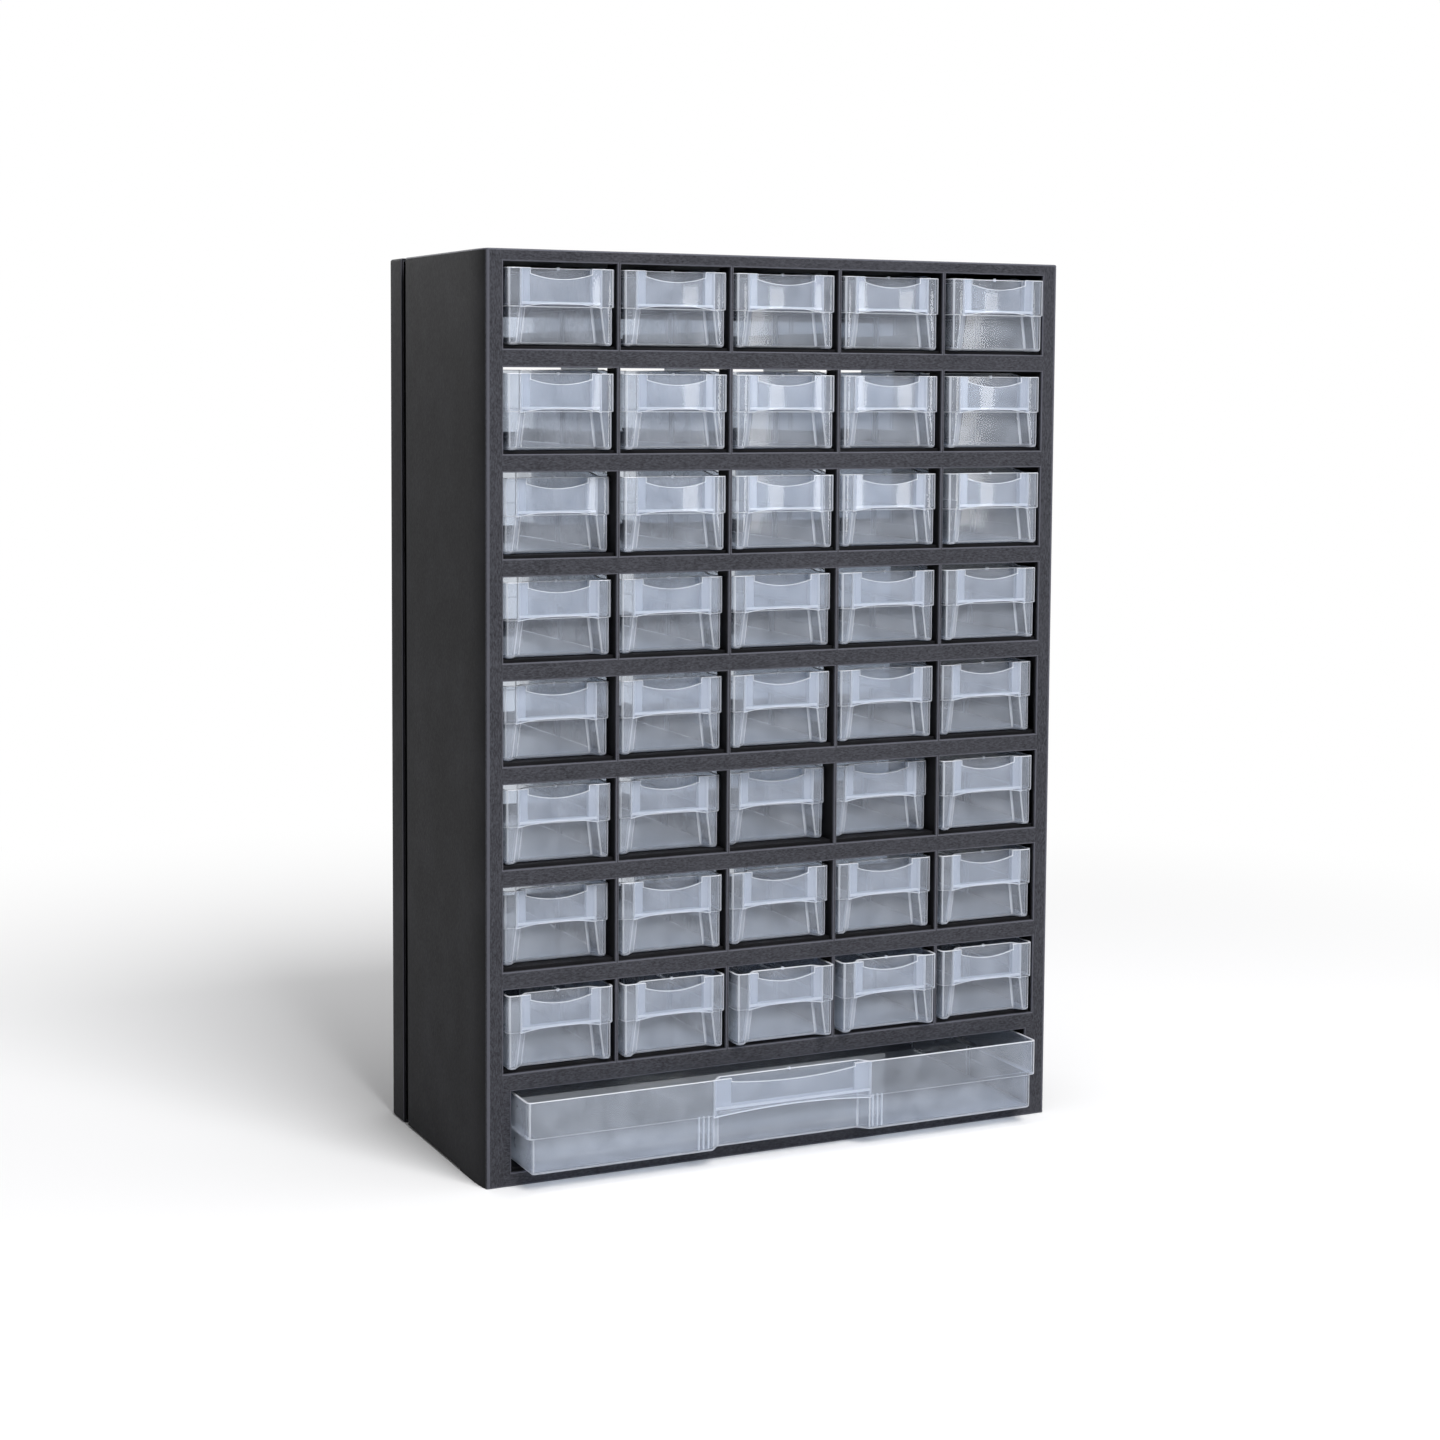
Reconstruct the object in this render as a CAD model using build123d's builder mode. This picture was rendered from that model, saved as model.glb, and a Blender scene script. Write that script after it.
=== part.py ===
from build123d import *

import os

# Parts drawer cabinet: a black moulded housing, open at the back, with forty small drawers in
# five columns and eight rows, and one wide drawer below them.
# X is to the right, Y to the back and Z up. The origin is on the floor under the middle of the
# cabinet, so the face of the housing is at the smallest Y. All sizes are millimetres.

# Housing
face_width = 300.0
cabinet_height = 430.0
cabinet_depth = 140.0
side_swell = 2.2            # the sides stand this far outside the face's edges
side_swell_run = 20.0       # depth over which the sides curve in to the face
face_edge_round = 1.0
shell_wall = 2.8
face_thickness = 3.0
foot_length = 32.0          # the front of each side stands on a foot
foot_step = 1.0

# Grid of openings in the face
columns = 5
rows = 8
side_border = 7.5
divider_thickness = 1.8
top_border = 5.7
bar_height = 8.3
wide_opening_height = 38.2
wide_opening_border = 11.35
base_border = 6.5
bar_edge_round = 0.7

# Shelves, dividers and rear stops inside the housing
shelf_thickness = 1.8
shelf_step = 1.4            # shelf tops stand above the bars' tops
floor_rib_thickness = 4.0
post_depth = 12.0
rail_height = 8.0
stop_thickness = 2.0
stop_height = 6.0

# Rear frame, a separate ring behind a groove
rear_frame_depth = 21.4     # the ring behind the groove, deeper than its corners are round
groove_width = 5.6
groove_inset = 1.6          # a little more than the frame's wall, so that the tongue fits inside it
tongue_length = 17.0
frame_wall = 1.5
frame_corner_radius = 9.0
frame_edge_round = 1.2
frame_flange_thickness = 2.0
frame_flange_side = 7.0
frame_flange_base = 7.9
frame_flange_top = 27.0

# Keyholes in the rear frame's top flange, for hanging on two screws
keyhole_spacing = 200.0
keyhole_head_diameter = 9.0
keyhole_slot_width = 4.5
keyhole_slot_length = 8.0
keyhole_head_drop = 19.0    # centre of the round part below the cabinet's top

# Shared by all drawers
drawer_seat_gap = 0.35      # drawer bottoms above the shelves
drawer_rear_gap = 0.4       # closed drawers in front of the rear stops
closed_recess = 7.0         # closed drawers' fronts behind the face
drawer_wall = 1.2
drawer_floor = 1.3
drawer_base_round = 1.6     # less than the corner round
drawer_corner_round = 2.0

# Small drawers
small_side_gap = 1.2        # widest part of the drawer to the opening's edge
small_head_gap = 4.35       # the front's top below the opening's top, less the seat's height
small_step_drop = 17.4      # the step line below the front's top
small_side_step = 0.9
small_front_step = 1.0
small_recess_floor = 32.0
small_recess_splay = 3.7    # the recess is this much wider at each side of its mouth
small_recess_depth = 4.0
small_window_width = 27.7
small_ledge_drop = 15.2
small_lip_end_drop = 18.0
small_lip_crown_drop = 15.9
small_plate_end_drop = 2.6
small_plate_dip_drop = 5.0
side_rise = 2.0             # sides and back above the front's top
side_rise_start = 15.0
side_rise_run = 12.0
stop_tab_width = 20.0
stop_tab_height = 2.8
slot_rib_width = 1.0
slot_rib_reach = 0.9
slot_width = 2.0
nub_width = 1.4
nub_height = 0.6

# Wide drawer
wide_side_gap = 2.15
wide_head_gap = 3.9
wide_step_drop = 17.2
wide_side_step = 2.5
wide_front_step = 1.0
wide_recess_floor = 75.0
wide_recess_splay = 4.5
wide_recess_depth = 5.0
wide_window_width = 66.0
wide_ledge_drop = 13.5
wide_lip_end_drop = 18.3
wide_lip_crown_drop = 16.0
wide_plate_end_drop = 1.6
wide_plate_dip_drop = 3.6
front_rib_width = 0.8
front_rib_reach = 1.0
front_rib_offsets = (1.8, 4.4, 6.8)   # outwards from the recess's mouth

# Pull plate of every drawer, across the recess
plate_thickness = 1.3
plate_overlap = 0.3         # onto the front at each side of the recess
plate_front = 0.1           # plate in front of the step line's plane
band_thickness = 1.1
ledge_thickness = 1.2

# How far each drawer is pulled out in the photograph's pose, from closed. The first row is the top one.
pull_out = (
    (8.0, 7.0, 7.0, 7.0, 11.0),
    (8.0, 8.5, 8.0, 7.0, 8.7),
    (3.0, 8.0, 8.0, 6.5, 9.5),
    (5.5, 5.0, 5.5, 6.5, 8.0),
    (3.0, 5.0, 5.5, 6.0, 5.0),
    (5.5, 3.0, 1.0, 1.0, 7.5),
    (3.0, 6.5, 5.5, 6.0, 7.5),
    (9.0, 10.0, 13.0, 12.5, 9.5),
)
wide_pull_out = 22.0

# Worked out from the sizes above
front = -cabinet_depth / 2
back = cabinet_depth / 2
half_face = face_width / 2
outer_x = half_face + side_swell
inner_x = outer_x - shell_wall
opening_edge = half_face - side_border
grid_width = face_width - 2 * side_border
opening_width = (grid_width - (columns - 1) * divider_thickness) / columns
column_pitch = opening_width + divider_thickness
grid_height = cabinet_height - top_border - base_border - wide_opening_height - rows * bar_height
opening_height = grid_height / rows
row_pitch = opening_height + bar_height
top_panel_underside = cabinet_height - shell_wall
groove_back = back - rear_frame_depth
groove_front = groove_back - groove_width
tongue_end = groove_front + tongue_length
tongue_x = outer_x - groove_inset
drawer_front = front + closed_recess
stop_front = tongue_end - stop_thickness - drawer_rear_gap
drawer_length = stop_front - drawer_rear_gap - drawer_front
small_width = opening_width - 2 * small_side_gap
small_front_height = opening_height - small_head_gap
small_recess_mouth = small_recess_floor + 2 * small_recess_splay
wide_opening_edge = half_face - wide_opening_border
wide_width = 2 * (wide_opening_edge - wide_side_gap)
wide_front_height = wide_opening_height - wide_head_gap
wide_recess_mouth = wide_recess_floor + 2 * wide_recess_splay

# Top of the bar under each row of small drawers, first row first
bar_tops = [cabinet_height - top_border - opening_height - row * row_pitch for row in range(rows)]
column_centres = [(column - (columns - 1) / 2) * column_pitch for column in range(columns)]
divider_centres = [
    -opening_edge - divider_thickness / 2 + side * column_pitch for side in range(columns + 1)
]

os.makedirs("parts", exist_ok=True)
node_names = []


def keep(shape, name):
    """Label a finished piece and write it as its own file."""
    shape.label = name
    export_step(shape, "parts/" + name + ".step")
    node_names.append(name)


def add_block(x_range, y_range, z_range, mode=Mode.ADD):
    """Add a plain block between the given limits to the piece being made."""
    corner = (x_range[0], y_range[0], z_range[0])
    with Locations(corner):
        Box(
            x_range[1] - x_range[0],
            y_range[1] - y_range[0],
            z_range[1] - z_range[0],
            align=(Align.MIN, Align.MIN, Align.MIN),
            mode=mode,
        )


# Side panels: a skin, the face's side border and a tongue that the rear frame slips over
with BuildPart() as right_side_panel:
    with BuildSketch(Plane.XY):
        with BuildLine():
            Polyline(
                (half_face - face_edge_round, front),
                (opening_edge, front),
                (opening_edge, front + face_thickness),
                (inner_x, front + face_thickness),
                (inner_x, tongue_end),
                (tongue_x, tongue_end),
                (tongue_x, groove_front),
                (outer_x, groove_front),
                (outer_x, front + side_swell_run),
            )
            TangentArc(
                (outer_x, front + side_swell_run),
                (half_face, front + face_edge_round),
                tangent=(0, -1),
            )
            RadiusArc(
                (half_face, front + face_edge_round),
                (half_face - face_edge_round, front),
                face_edge_round,
            )
        make_face()
    extrude(amount=cabinet_height)
    add_block(
        (opening_edge, outer_x),
        (front + foot_length, tongue_end),
        (0, foot_step),
        mode=Mode.SUBTRACT,
    )
    for tongue_cut in ((0, groove_inset), (cabinet_height - groove_inset, cabinet_height)):
        add_block((opening_edge, outer_x), (groove_front, tongue_end), tongue_cut, mode=Mode.SUBTRACT)
    top_skin_edge = (
        right_side_panel.edges()
        .filter_by(Axis.Y)
        .filter_by_position(Axis.Z, cabinet_height - 0.01, cabinet_height + 0.01)
        .sort_by(Axis.X)[-1]
    )
    fillet(top_skin_edge, face_edge_round * 0.8)
keep(right_side_panel.part, "right_side_panel")

with BuildPart() as left_side_panel:
    add(mirror(right_side_panel.part, about=Plane.YZ))
keep(left_side_panel.part, "left_side_panel")

# Top panel, with its own tongue at the back
with BuildPart() as top_panel:
    add_block((-inner_x, inner_x), (front + face_thickness, tongue_end), (top_panel_underside, cabinet_height))
    add_block(
        (-inner_x, inner_x),
        (groove_front, tongue_end),
        (cabinet_height - groove_inset, cabinet_height),
        mode=Mode.SUBTRACT,
    )
keep(top_panel.part, "top_panel")

# Horizontal bars of the face: the top border, one bar under each row, and the base border
with BuildPart() as face_bars:
    with BuildSketch(Plane.YZ.offset(-opening_edge)):
        for bar_top in bar_tops:
            with Locations((front + face_thickness / 2, bar_top - bar_height / 2)):
                Rectangle(face_thickness, bar_height)
        with Locations((front + face_thickness / 2, cabinet_height - top_border / 2)):
            Rectangle(face_thickness, top_border)
        with Locations((front + face_thickness / 2, base_border / 2)):
            Rectangle(face_thickness, base_border)
    extrude(amount=2 * opening_edge)
    front_edges = face_bars.edges().filter_by(Axis.X).filter_by_position(Axis.Y, front - 0.01, front + 0.01)
    fillet(front_edges, bar_edge_round)
keep(face_bars.part, "face_bars")

# Shelves: one plate under each row of small drawers, and the floor under the wide drawer
for row, bar_top in enumerate(bar_tops):
    shelf_top = bar_top + shelf_step
    with BuildPart() as shelf:
        add_block(
            (-inner_x, inner_x),
            (front + face_thickness, tongue_end),
            (shelf_top - shelf_thickness, shelf_top),
        )
    keep(shelf.part, f"shelf_{row + 1}")

floor_top = base_border + shelf_step
with BuildPart() as floor_panel:
    add_block(
        (-inner_x, inner_x),
        (front + face_thickness, tongue_end),
        (floor_top - shelf_thickness, floor_top),
    )
    # A rib under the middle of the floor stands on the ground with the front and the rear frame
    add_block(
        (-inner_x, inner_x),
        (-floor_rib_thickness / 2, floor_rib_thickness / 2),
        (0, floor_top - shelf_thickness / 2),
    )
keep(floor_panel.part, "floor_panel")

# Divider posts: thin uprights between the openings, hooked behind the bars onto the shelves
post_back = front + post_depth
shelf_tops = [bar_top + shelf_step for bar_top in bar_tops]
ceilings = [top_panel_underside] + [shelf_top - shelf_thickness for shelf_top in shelf_tops[:-1]]
middle_planes = [Plane.YZ.offset(centre - divider_thickness / 2) for centre in divider_centres[1:-1]]
side_planes = [
    Plane.YZ.offset(centre - divider_thickness / 2) for centre in (divider_centres[0], divider_centres[-1])
]
with BuildPart() as divider_posts:
    with BuildSketch(*middle_planes):
        for bar_top, shelf_top, ceiling in zip(bar_tops, shelf_tops, ceilings):
            bar_above = bar_top + opening_height
            with BuildLine():
                Polyline(
                    (front, bar_top),
                    (front, bar_above),
                    (front + face_thickness, bar_above),
                    (front + face_thickness, ceiling),
                    (post_back, ceiling),
                    (post_back, shelf_top),
                    (front + face_thickness, shelf_top),
                    (front + face_thickness, bar_top),
                    close=True,
                )
            make_face()
    extrude(amount=divider_thickness)
    with BuildSketch(*side_planes):
        for shelf_top, ceiling in zip(shelf_tops, ceilings):
            with Locations(((front + face_thickness + post_back) / 2, (shelf_top + ceiling) / 2)):
                Rectangle(post_depth - face_thickness, ceiling - shelf_top)
    extrude(amount=divider_thickness)
keep(divider_posts.part, "divider_posts")

# Guide rails: low walls along the shelves, behind the posts
rail_length = stop_front - post_back
with BuildPart() as guide_rails:
    with Locations(
        *[
            (centre, (post_back + stop_front) / 2, shelf_top + rail_height / 2)
            for centre in divider_centres
            for shelf_top in shelf_tops
        ]
    ):
        Box(divider_thickness, rail_length, rail_height)
keep(guide_rails.part, "guide_rails")

# Rear stops: a low wall at the back of each shelf and of the floor, where closed drawers end
with BuildPart() as rear_stops:
    with Locations(
        *[(0, stop_front + stop_thickness / 2, level + stop_height / 2) for level in [floor_top] + shelf_tops]
    ):
        Box(2 * inner_x, stop_thickness, stop_height)
keep(rear_stops.part, "rear_stops")

# Lower cheeks: they narrow the wide drawer's opening at each side of the face
with BuildPart() as lower_cheeks:
    for side in (-1, 1):
        cheek_span = sorted((side * wide_opening_edge, side * opening_edge))
        post_span = sorted((side * wide_opening_edge, side * (wide_opening_edge + divider_thickness)))
        bay_top = base_border + wide_opening_height
        add_block(cheek_span, (front, front + face_thickness), (base_border, bay_top))
        add_block(
            post_span,
            (front + face_thickness, stop_front),
            (floor_top, floor_top + rail_height),
        )
keep(lower_cheeks.part, "lower_cheeks")

# Rear frame: a ring with rounded corners and a flange that is open in the middle
frame_depth = back - groove_back
with BuildPart() as rear_frame:
    add_block((-outer_x, outer_x), (groove_back, back), (0, cabinet_height))
    rear_corners = rear_frame.edges().filter_by(Axis.Z).filter_by_position(Axis.Y, back - 0.01, back + 0.01)
    fillet(rear_corners, frame_corner_radius)
    rear_rim = rear_frame.faces().sort_by(Axis.Y)[-1].edges().filter_by(Axis.X)
    fillet(rear_rim, frame_edge_round)
    with BuildSketch(Plane.XY.offset(frame_wall)):
        with Locations((0, groove_back)):
            void = Rectangle(
                2 * (outer_x - frame_wall),
                frame_depth - frame_flange_thickness,
                align=(Align.CENTER, Align.MIN),
            )
        void_corners = void.vertices().group_by(Axis.Y)[-1]
        fillet(void_corners, frame_corner_radius - frame_wall)
    extrude(amount=cabinet_height - 2 * frame_wall, mode=Mode.SUBTRACT)
    add_block(
        (-outer_x + frame_corner_radius + frame_flange_side, outer_x - frame_corner_radius - frame_flange_side),
        (groove_back, back),
        (frame_flange_base, cabinet_height - frame_flange_top),
        mode=Mode.SUBTRACT,
    )
    with BuildSketch(Plane.XZ.offset(-back)):
        for side in (-1, 1):
            head_height = cabinet_height - keyhole_head_drop
            with Locations((side * keyhole_spacing / 2, head_height)):
                Circle(keyhole_head_diameter / 2)
            with Locations((side * keyhole_spacing / 2, head_height + keyhole_slot_length / 2)):
                SlotCenterToCenter(keyhole_slot_length, keyhole_slot_width, rotation=90)
    extrude(amount=2 * frame_flange_thickness, both=True, mode=Mode.SUBTRACT)
keep(rear_frame.part, "rear_frame")


def drawer_plan(width, length, setback, mouth, recess_floor, recess_depth, inset=0.0):
    """Draw a drawer's plan, with a shallow recess in its front, and shrink it by the inset."""
    half = width / 2
    with BuildSketch() as plan:
        with BuildLine():
            Polyline(
                (-half, setback),
                (-mouth / 2, setback),
                (-recess_floor / 2, setback + recess_depth),
                (recess_floor / 2, setback + recess_depth),
                (mouth / 2, setback),
                (half, setback),
                (half, length),
                (-half, length),
                close=True,
            )
        make_face()
        outer_corners = [corner for corner in plan.vertices() if abs(abs(corner.X) - half) < 0.01]
        fillet(outer_corners, drawer_corner_round)
        if inset > 0:
            offset(amount=-inset, kind=Kind.INTERSECTION, mode=Mode.REPLACE)
    return plan.sketch


def pull_plate_view(height, mouth, window, end_drop, dip_drop, lip_end_drop, lip_crown_drop):
    """Draw a pull plate's front view: a dipped top, two upright bands and an arched lower lip."""
    half = mouth / 2
    half_window = window / 2
    with BuildSketch() as view:
        with BuildLine():
            ThreePointArc(
                (-half, height - lip_end_drop),
                (0, height - lip_crown_drop),
                (half, height - lip_end_drop),
            )
            Polyline(
                (half, height - lip_end_drop),
                (half, height),
                (half_window, height),
                (half_window, height - end_drop),
            )
            ThreePointArc(
                (half_window, height - end_drop),
                (0, height - dip_drop),
                (-half_window, height - end_drop),
            )
            Polyline(
                (-half_window, height - end_drop),
                (-half_window, height),
                (-half, height),
                (-half, height - lip_end_drop),
            )
        make_face()
    return view.sketch


def ledge_plan(mouth, recess_floor, recess_depth):
    """Draw the plan of the ledge across a drawer's recess."""
    with BuildSketch() as plan:
        with BuildLine():
            Polyline(
                (-mouth / 2, 0.2),
                (-recess_floor / 2, recess_depth + 0.5),
                (recess_floor / 2, recess_depth + 0.5),
                (mouth / 2, 0.2),
                close=True,
            )
        make_face()
    return plan.sketch


# Small drawer, made once at the origin with its front at Y = 0 and its bottom at Z = 0
small_step_height = small_front_height - small_step_drop
small_lower_width = small_width - 2 * small_side_step
side_height = small_front_height + side_rise
ledge_height = small_front_height - small_ledge_drop
with BuildPart() as small_drawer:
    with BuildSketch(Plane.XY):
        add(
            drawer_plan(
                small_lower_width,
                drawer_length - small_front_step,
                small_front_step,
                small_recess_mouth,
                small_recess_floor,
                small_recess_depth,
            )
        )
    extrude(amount=small_step_height)
    base_edges = small_drawer.faces().sort_by(Axis.Z)[0].edges()
    fillet(base_edges, drawer_base_round)
    with BuildSketch(Plane.XY.offset(small_step_height)):
        add(
            drawer_plan(
                small_width,
                drawer_length,
                0.2,
                small_recess_mouth,
                small_recess_floor,
                small_recess_depth,
            )
        )
    extrude(amount=side_height - small_step_height)
    # Inside of the lower half
    with BuildSketch(Plane.XY.offset(drawer_floor)):
        add(
            drawer_plan(
                small_lower_width,
                drawer_length - small_front_step,
                small_front_step,
                small_recess_mouth,
                small_recess_floor,
                small_recess_depth,
                inset=drawer_wall,
            )
        )
    extrude(amount=small_step_height - drawer_floor + ledge_thickness, mode=Mode.SUBTRACT)
    # Inside of the upper half
    with BuildSketch(Plane.XY.offset(small_step_height + ledge_thickness)):
        add(
            drawer_plan(
                small_width,
                drawer_length,
                0.2,
                small_recess_mouth,
                small_recess_floor,
                small_recess_depth,
                inset=drawer_wall,
            )
        )
    extrude(amount=side_height, mode=Mode.SUBTRACT)
    # The front and the first part of the sides are lower than the rest
    with BuildSketch(Plane.YZ.offset(-small_width)):
        with BuildLine():
            Polyline(
                (-side_rise_run, small_front_height),
                (side_rise_start, small_front_height),
                (side_rise_start + side_rise_run, side_height),
                (side_rise_start + side_rise_run, side_height + side_rise),
                (-side_rise_run, side_height + side_rise),
                close=True,
            )
        make_face()
    extrude(amount=2 * small_width, mode=Mode.SUBTRACT)
    # Tab on the back wall, which meets the bar when the drawer is fully out
    add_block(
        (-stop_tab_width / 2, stop_tab_width / 2),
        (drawer_length - drawer_wall, drawer_length),
        (side_height - drawer_wall, side_height + stop_tab_height),
    )
    # Pull plate, its two thicker bands and the ledge that closes the label pocket
    with BuildSketch(Plane.XZ.offset(plate_front)):
        add(
            pull_plate_view(
                small_front_height,
                small_recess_mouth + 2 * plate_overlap,
                small_window_width,
                small_plate_end_drop,
                small_plate_dip_drop,
                small_lip_end_drop,
                small_lip_crown_drop,
            )
        )
    extrude(amount=-plate_thickness)
    for side in (-1, 1):
        band_span = sorted((side * small_window_width / 2, side * (small_recess_mouth / 2 - 0.8)))
        add_block(
            band_span,
            (0.5, plate_thickness + band_thickness),
            (ledge_height - ledge_thickness, small_front_height),
        )
    with BuildSketch(Plane.XY.offset(ledge_height)):
        add(ledge_plan(small_recess_mouth, small_recess_floor, small_recess_depth))
    extrude(amount=-ledge_thickness)
    # Small nub on the middle of the front wall
    add_block(
        (-nub_width / 2, nub_width / 2),
        (small_recess_depth + 0.2, small_recess_depth + 0.2 + drawer_wall),
        (small_front_height - drawer_wall, small_front_height + nub_height),
    )
    # Two ribs on each side hold a loose divider, halfway along
    inner_half = small_lower_width / 2 - drawer_wall
    for side in (-1, 1):
        for place in (-1, 1):
            rib_centre = drawer_length / 2 + place * (slot_width + slot_rib_width) / 2
            rib_span = sorted((side * (inner_half - slot_rib_reach), side * (inner_half + 0.4)))
            add_block(
                rib_span,
                (rib_centre - slot_rib_width / 2, rib_centre + slot_rib_width / 2),
                (drawer_floor - 0.3, small_step_height),
            )

for row in range(rows):
    seat = bar_tops[row] + shelf_step + drawer_seat_gap
    for column in range(columns):
        place = Location((column_centres[column], drawer_front - pull_out[row][column], seat))
        keep(small_drawer.part.moved(place), f"drawer_r{row + 1}_c{column + 1}")

# Wide drawer, made the same way and then moved to its place
wide_step_height = wide_front_height - wide_step_drop
wide_lower_width = wide_width - 2 * wide_side_step
wide_ledge_height = wide_front_height - wide_ledge_drop
with BuildPart() as wide_drawer_shape:
    with BuildSketch(Plane.XY):
        add(
            drawer_plan(
                wide_lower_width,
                drawer_length - wide_front_step,
                wide_front_step,
                wide_recess_mouth,
                wide_recess_floor,
                wide_recess_depth,
            )
        )
    extrude(amount=wide_step_height)
    wide_base_edges = wide_drawer_shape.faces().sort_by(Axis.Z)[0].edges()
    fillet(wide_base_edges, drawer_base_round)
    with BuildSketch(Plane.XY.offset(wide_step_height)):
        add(
            drawer_plan(
                wide_width,
                drawer_length,
                0.2,
                wide_recess_mouth,
                wide_recess_floor,
                wide_recess_depth,
            )
        )
    extrude(amount=wide_step_drop)
    with BuildSketch(Plane.XY.offset(drawer_floor)):
        add(
            drawer_plan(
                wide_lower_width,
                drawer_length - wide_front_step,
                wide_front_step,
                wide_recess_mouth,
                wide_recess_floor,
                wide_recess_depth,
                inset=drawer_wall,
            )
        )
    extrude(amount=wide_step_height - drawer_floor + ledge_thickness, mode=Mode.SUBTRACT)
    with BuildSketch(Plane.XY.offset(wide_step_height + ledge_thickness)):
        add(
            drawer_plan(
                wide_width,
                drawer_length,
                0.2,
                wide_recess_mouth,
                wide_recess_floor,
                wide_recess_depth,
                inset=drawer_wall,
            )
        )
    extrude(amount=wide_front_height, mode=Mode.SUBTRACT)
    with BuildSketch(Plane.XZ.offset(plate_front)):
        add(
            pull_plate_view(
                wide_front_height,
                wide_recess_mouth + 2 * plate_overlap,
                wide_window_width,
                wide_plate_end_drop,
                wide_plate_dip_drop,
                wide_lip_end_drop,
                wide_lip_crown_drop,
            )
        )
    extrude(amount=-plate_thickness)
    for side in (-1, 1):
        band_span = sorted((side * wide_window_width / 2, side * (wide_recess_mouth / 2 - 0.8)))
        add_block(
            band_span,
            (0.5, plate_thickness + band_thickness),
            (wide_ledge_height - ledge_thickness, wide_front_height),
        )
    with BuildSketch(Plane.XY.offset(wide_ledge_height)):
        add(ledge_plan(wide_recess_mouth, wide_recess_floor, wide_recess_depth))
    extrude(amount=-ledge_thickness)
    # Low ribs behind the front wall, at each side of the recess
    for side in (-1, 1):
        for rib_offset in front_rib_offsets:
            rib_edge = wide_recess_mouth / 2 + rib_offset
            add_block(
                sorted((side * rib_edge, side * (rib_edge + front_rib_width))),
                (wide_front_step + drawer_wall - 0.4, wide_front_step + drawer_wall + front_rib_reach),
                (drawer_floor - 0.3, wide_step_height),
            )

wide_seat = floor_top + drawer_seat_gap
wide_place = Location((0, drawer_front - wide_pull_out, wide_seat))
keep(wide_drawer_shape.part.moved(wide_place), "wide_drawer")

small_travel = drawer_length - drawer_wall - (front + face_thickness - drawer_front) - drawer_rear_gap
print("nodes", len(node_names))
print("opening", round(opening_width, 3), "x", round(opening_height, 3))
print("small drawer width", round(small_width, 3), "length", round(drawer_length, 3))
print("travel until the tab meets the bar", round(small_travel, 2))
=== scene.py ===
"""Parts drawer cabinet: a black moulded housing with forty small drawers and one wide drawer.

Sizes are in millimetres in the dataclass fields and are turned to metres where a mesh is made.
X is to the right, Y to the back and Z up, and the face of the housing is at the smallest Y.
"""

import logging
import math
from dataclasses import dataclass
from enum import Enum

import bmesh
import bpy
from mathutils import Matrix, Vector


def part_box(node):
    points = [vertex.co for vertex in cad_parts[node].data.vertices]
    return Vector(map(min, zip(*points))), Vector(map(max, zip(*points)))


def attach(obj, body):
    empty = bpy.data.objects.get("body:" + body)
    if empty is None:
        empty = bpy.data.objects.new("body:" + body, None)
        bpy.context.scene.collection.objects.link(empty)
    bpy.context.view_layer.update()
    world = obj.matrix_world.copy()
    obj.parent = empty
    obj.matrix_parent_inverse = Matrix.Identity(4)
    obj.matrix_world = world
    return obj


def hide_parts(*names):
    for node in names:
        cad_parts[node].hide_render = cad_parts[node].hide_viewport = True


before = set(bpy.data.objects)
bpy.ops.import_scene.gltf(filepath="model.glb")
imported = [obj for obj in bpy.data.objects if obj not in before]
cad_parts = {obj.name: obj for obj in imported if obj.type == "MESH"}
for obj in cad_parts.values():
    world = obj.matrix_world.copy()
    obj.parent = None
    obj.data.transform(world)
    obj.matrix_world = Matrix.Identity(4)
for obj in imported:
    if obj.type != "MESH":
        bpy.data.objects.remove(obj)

Mesh = bmesh.types.BMesh
Vert = bmesh.types.BMVert
Edge = bmesh.types.BMEdge
Face = bmesh.types.BMFace
Socket = bpy.types.NodeSocket
Tree = bpy.types.NodeTree
Material = bpy.types.Material
Piece = bpy.types.Object
Point = tuple[float, float, float]

MM = 0.001
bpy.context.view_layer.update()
WHITE = (1.0, 1.0, 1.0, 1.0)
# Places nearer to each other than this, in metres, are the same
CLOSE = 1e-6
# The same in millimetres, for places that an operator has moved
NEAR = 0.01
# A looser limit, for parts of a shape that stand well apart, in millimetres
APART = 1.0
# How far one solid reaches into another that carries it, in millimetres
SINK = 0.3
# An edge that is bent further than this gets rounded
SHARP_ANGLE = math.radians(40)
# An edge that is bent less than this is shaded smooth
SMOOTH_ANGLE = math.radians(32)
# A face whose normal reaches this far along an axis looks that way
FACING = 0.9
# A face whose normal reaches less far than this along an axis stands beside it
BESIDE = 0.3
# How far along X a normal reaches half way round an upright corner
TURN_LOW, TURN_HIGH = 0.35, 0.7
# Most of a noise texture's values lie between these two
NOISE_LOW, NOISE_HIGH = 0.3, 0.7
log = logging.getLogger("cabinet")


def linear(hex_colour: str) -> tuple[float, float, float, float]:
    """Turn an sRGB hex colour to the linear values that shaders take.

    Args:
        hex_colour: the colour as #RRGGBB.

    Returns:
        Red, green, blue and an alpha of 1.
    """
    parts = [int(hex_colour[i : i + 2], 16) / 255 for i in (1, 3, 5)]
    red, green, blue = [c / 12.92 if c <= 0.04045 else ((c + 0.055) / 1.055) ** 2.4 for c in parts]
    return (red, green, blue, 1.0)


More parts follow.
